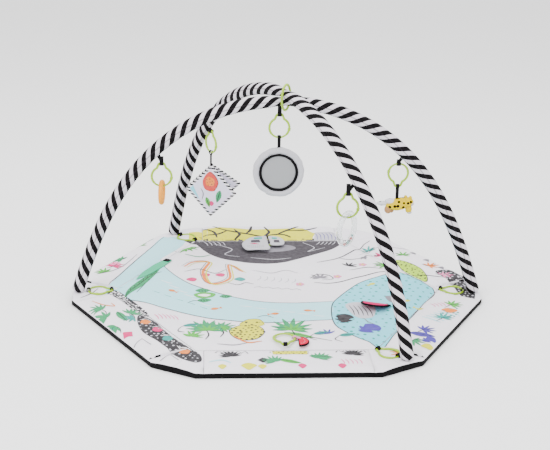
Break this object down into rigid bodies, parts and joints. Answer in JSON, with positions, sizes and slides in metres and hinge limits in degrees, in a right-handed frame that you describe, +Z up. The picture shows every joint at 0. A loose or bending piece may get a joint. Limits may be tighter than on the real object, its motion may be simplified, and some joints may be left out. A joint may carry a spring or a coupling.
{
  "type": "activity play gym",
  "caption": "Padded hexagonal baby mat with fold-up sides, two crossed padded arches, and toys hung on snap links and laid on the mat.",
  "frame": {"origin": "middle of the hexagonal mat, on the floor", "axes": "+X to the mat's right corner along the lower arch, -Y to its front edge, +Z up"},
  "size_m": [1.0478, 0.9594, 0.5627],
  "materials": {
    "black_backing": "soft",
    "white_cotton": "soft",
    "fibre_fill": "soft",
    "striped_sleeve": "soft",
    "glass_fibre": "matte",
    "black_webbing": "soft",
    "lime_plastic": "glossy",
    "bezel": "matte",
    "mirror_foil": "polished",
    "orange_rubber": "satin",
    "printed_cotton": "soft",
    "clear_plastic": "clear",
    "red_bead": "glossy",
    "spotted_plush": "soft",
    "magenta_plush": "soft",
    "leaf_cotton": "soft"
  },
  "bodies": {
    "mat": {"base_cloth": "black_backing", "centre_cover": "white_cotton", "centre_wadding": "fibre_fill", "gusset_right": "white_cotton", "gusset_back_right": "white_cotton", "gusset_back_left": "white_cotton", "gusset_left": "white_cotton", "gusset_front_left": "white_cotton", "gusset_front_right": "white_cotton", "sleeve_lower": "striped_sleeve", "sleeve_upper": "striped_sleeve", "rod_lower": "glass_fibre", "rod_upper": "glass_fibre", "crown_ring": "lime_plastic", "corner_loop_left": "black_webbing", "foot_loop_left": "black_webbing", "corner_loop_right": "black_webbing", "foot_loop_right": "black_webbing", "corner_loop_back_left": "black_webbing", "foot_loop_back_left": "black_webbing", "corner_loop_front_right": "black_webbing", "foot_loop_front_right": "black_webbing", "mirror_strap": "black_webbing", "teether_strap": "black_webbing", "book_strap": "black_webbing", "rattle_strap": "black_webbing", "plush_strap": "black_webbing", "front_loop": "black_webbing", "back_loop": "black_webbing"},
    "side_right_back": {"side_right_back": "white_cotton"},
    "side_back": {"side_back": "white_cotton"},
    "side_left_back": {"side_left_back": "white_cotton"},
    "side_left_front": {"side_left_front": "white_cotton"},
    "side_front": {"side_front": "white_cotton"},
    "side_right_front": {"side_right_front": "white_cotton"},
    "corner_link_left": {"corner_link_left": "lime_plastic"},
    "corner_link_right": {"corner_link_right": "lime_plastic"},
    "corner_link_back_left": {"corner_link_back_left": "lime_plastic"},
    "corner_link_front_right": {"corner_link_front_right": "lime_plastic"},
    "mirror_link": {"mirror_link": "lime_plastic"},
    "teether_link": {"teether_link": "lime_plastic"},
    "book_link": {"book_link": "lime_plastic"},
    "rattle_link": {"rattle_link": "lime_plastic"},
    "plush_link": {"plush_link": "lime_plastic"},
    "mirror": {"mirror_cushion": "white_cotton", "mirror_bezel": "bezel", "mirror_pane": "mirror_foil"},
    "teether": {"teether_ring": "orange_rubber"},
    "book": {"book_front": "printed_cotton"},
    "book_page": {"book_back": "printed_cotton"},
    "rattle": {"rattle_ring": "clear_plastic"},
    "bead": {"rattle_bead": "red_bead"},
    "plush": {"plush_body": "spotted_plush"},
    "front_link": {"front_link": "lime_plastic"},
    "fruit_slice": {"fruit_slice": "magenta_plush"},
    "back_link": {"back_link": "lime_plastic"},
    "back_toy_left": {"back_toy_left": "printed_cotton"},
    "back_toy_right": {"back_toy_right": "printed_cotton"},
    "wing_flap": {"wing_flap": "magenta_plush"},
    "leaf_flap": {"leaf_flap": "leaf_cotton"}
  },
  "joints": [
    {"name": "fold_right_back", "type": "hinge", "parent": "mat", "child": "side_right_back", "pos_m": [0.315, 0.18186, 0.015], "axis": [0.5, -0.866, 0], "range_deg": [0, 60]},
    {"name": "fold_back", "type": "hinge", "parent": "mat", "child": "side_back", "pos_m": [0, 0.36373, 0.015], "axis": [1, 0, 0], "range_deg": [0, 60]},
    {"name": "fold_left_back", "type": "hinge", "parent": "mat", "child": "side_left_back", "pos_m": [-0.315, 0.18186, 0.015], "axis": [0.5, 0.866, 0], "range_deg": [0, 60]},
    {"name": "fold_left_front", "type": "hinge", "parent": "mat", "child": "side_left_front", "pos_m": [-0.315, -0.18186, 0.015], "axis": [-0.5, 0.866, 0], "range_deg": [0, 60]},
    {"name": "fold_front", "type": "hinge", "parent": "mat", "child": "side_front", "pos_m": [0, -0.36373, 0.015], "axis": [-1, 0, 0], "range_deg": [0, 60]},
    {"name": "fold_right_front", "type": "hinge", "parent": "mat", "child": "side_right_front", "pos_m": [0.315, -0.18186, 0.015], "axis": [-0.5, -0.866, 0], "range_deg": [0, 60]},
    {"name": "lift_left", "type": "hinge", "parent": "mat", "child": "corner_link_left", "pos_m": [-0.42418, -0.00041, 0.0176], "axis": [-0.0976, 0.9952, 0], "range_deg": [0, 4]},
    {"name": "lift_right", "type": "hinge", "parent": "mat", "child": "corner_link_right", "pos_m": [0.42407, -0.00103, 0.0176], "axis": [-0.2454, -0.9694, 0], "range_deg": [0, 4]},
    {"name": "lift_back_left", "type": "hinge", "parent": "mat", "child": "corner_link_back_left", "pos_m": [-0.21303, 0.36664, 0.0176], "axis": [0.6929, 0.7211, 0], "range_deg": [0, 4]},
    {"name": "lift_front_right", "type": "hinge", "parent": "mat", "child": "corner_link_front_right", "pos_m": [0.21303, -0.36664, 0.0176], "axis": [-0.6929, -0.7211, 0], "range_deg": [0, 4]},
    {"name": "mirror_swing", "type": "hinge", "parent": "mat", "child": "mirror_link", "pos_m": [-0.00452, -0.0155, 0.48672], "axis": [1, 0, 0], "range_deg": [-40, 40]},
    {"name": "teether_swing", "type": "hinge", "parent": "mat", "child": "teether_link", "pos_m": [-0.29403, -0.01174, 0.35942], "axis": [1, 0, 0], "range_deg": [-40, 40]},
    {"name": "book_swing", "type": "hinge", "parent": "mat", "child": "book_link", "pos_m": [-0.16916, 0.26249, 0.36628], "axis": [0.5417, -0.8406, 0], "range_deg": [-40, 40]},
    {"name": "rattle_swing", "type": "hinge", "parent": "mat", "child": "rattle_link", "pos_m": [0.14125, -0.26926, 0.36621], "axis": [1, 0, 0], "range_deg": [-40, 40]},
    {"name": "plush_swing", "type": "hinge", "parent": "mat", "child": "plush_link", "pos_m": [0.29489, -0.01939, 0.36243], "axis": [1, 0, 0], "range_deg": [-40, 40]},
    {"name": "mirror_toy_swing", "type": "hinge", "parent": "mirror_link", "child": "mirror", "pos_m": [-0.00452, -0.0155, 0.42822], "axis": [1, 0, 0], "range_deg": [-45, 45]},
    {"name": "teether_ring_swing", "type": "hinge", "parent": "teether_link", "child": "teether", "pos_m": [-0.29403, -0.01174, 0.30092], "axis": [0.9945, -0.1045, 0], "range_deg": [-40, 40]},
    {"name": "book_toy_swing", "type": "hinge", "parent": "book_link", "child": "book", "pos_m": [-0.16916, 0.26249, 0.30778], "axis": [0.5417, -0.8406, 0], "range_deg": [-35, 35]},
    {"name": "book_page_turn", "type": "hinge", "parent": "book", "child": "book_page", "pos_m": [-0.16799, 0.26525, 0.27378], "axis": [0.6509, -0.2763, 0.7071], "range_deg": [-28, 60]},
    {"name": "rattle_ring_swing", "type": "hinge", "parent": "rattle_link", "child": "rattle", "pos_m": [0.14125, -0.26926, 0.30771], "axis": [0.8192, -0.5736, 0], "range_deg": [-12, 12]},
    {"name": "rattle_bead_orbit", "type": "hinge", "parent": "rattle", "child": "bead", "pos_m": [0.14125, -0.26926, 0.28021], "axis": [0.8192, -0.5736, 0], "continuous": true},
    {"name": "plush_toy_swing", "type": "hinge", "parent": "plush_link", "child": "plush", "pos_m": [0.29489, -0.01939, 0.30393], "axis": [1, 0, 0], "range_deg": [-45, 45]},
    {"name": "front_lift", "type": "hinge", "parent": "mat", "child": "front_link", "pos_m": [-0.002, -0.35753, 0.0276], "axis": [1, 0, 0], "range_deg": [0, 45]},
    {"name": "fruit_slice_lift", "type": "hinge", "parent": "front_link", "child": "fruit_slice", "pos_m": [0.0225, -0.32353, 0.0276], "axis": [0, -1, 0], "range_deg": [0, 40]},
    {"name": "back_lift", "type": "hinge", "parent": "mat", "child": "back_link", "pos_m": [-0.008, 0.35753, 0.0276], "axis": [-1, 0, 0], "range_deg": [0, 45]},
    {"name": "back_toy_lift_left", "type": "hinge", "parent": "back_link", "child": "back_toy_left", "pos_m": [-0.0122, 0.35753, 0.0276], "axis": [-1, 0, 0], "range_deg": [0, 25]},
    {"name": "back_toy_lift_right", "type": "hinge", "parent": "back_link", "child": "back_toy_right", "pos_m": [-0.0038, 0.35753, 0.0276], "axis": [-1, 0, 0], "range_deg": [0, 25]},
    {"name": "wing_flap_lift", "type": "hinge", "parent": "mat", "child": "wing_flap", "pos_m": [0.243, -0.112, 0.0251], "axis": [-0.9397, 0.342, 0], "range_deg": [-14, 90]},
    {"name": "leaf_flap_lift", "type": "hinge", "parent": "mat", "child": "leaf_flap", "pos_m": [-0.28281, 0.19561, 0.0245], "axis": [-0.866, 0.5, 0], "range_deg": [0, 90]}
  ],
  "couplings": [
    {"joint": "fold_right_back", "follows": "fold_front", "ratio": 1},
    {"joint": "fold_back", "follows": "fold_front", "ratio": 1},
    {"joint": "fold_left_back", "follows": "fold_front", "ratio": 1},
    {"joint": "fold_left_front", "follows": "fold_front", "ratio": 1},
    {"joint": "fold_right_front", "follows": "fold_front", "ratio": 1}
  ]
}
